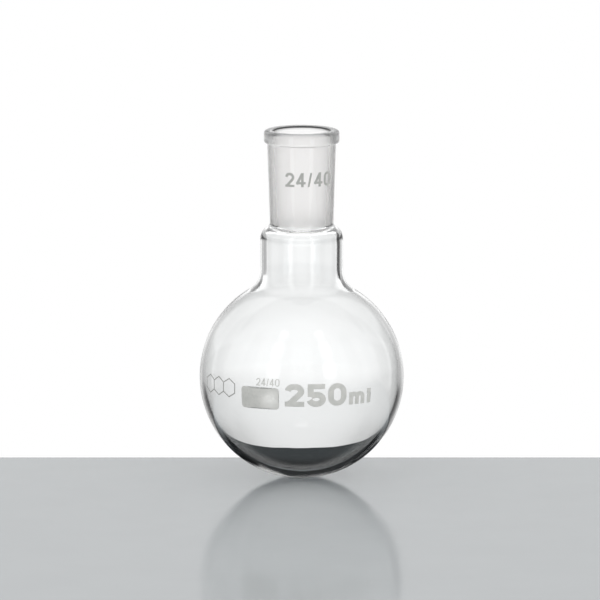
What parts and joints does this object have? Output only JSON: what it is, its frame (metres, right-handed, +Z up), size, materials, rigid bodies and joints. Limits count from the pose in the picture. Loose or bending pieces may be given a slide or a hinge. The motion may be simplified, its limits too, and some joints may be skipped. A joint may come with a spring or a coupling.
{
  "type": "round bottom flask",
  "caption": "Clear glass single-neck round-bottom boiling flask with a ground standard-taper socket, rim bead and fired enamel capacity and size figures.",
  "frame": {"origin": "lowest point of the bulb, on the axis of the neck", "axes": "+Z up the axis of the bulb, neck and socket; -Y is the front, where the capacity figures are"},
  "size_m": [0.085, 0.0851, 0.146],
  "materials": {
    "clear_glass": "gloss",
    "ground_glass": "matte",
    "enamel": "satin"
  },
  "bodies": {
    "root": {"flask_body": "clear_glass", "joint_socket": "ground_glass", "writing_patch": "enamel", "capacity_mark": "enamel", "bulb_size_mark": "enamel", "joint_size_mark": "enamel", "emblem": "enamel"}
  },
  "joints": []
}
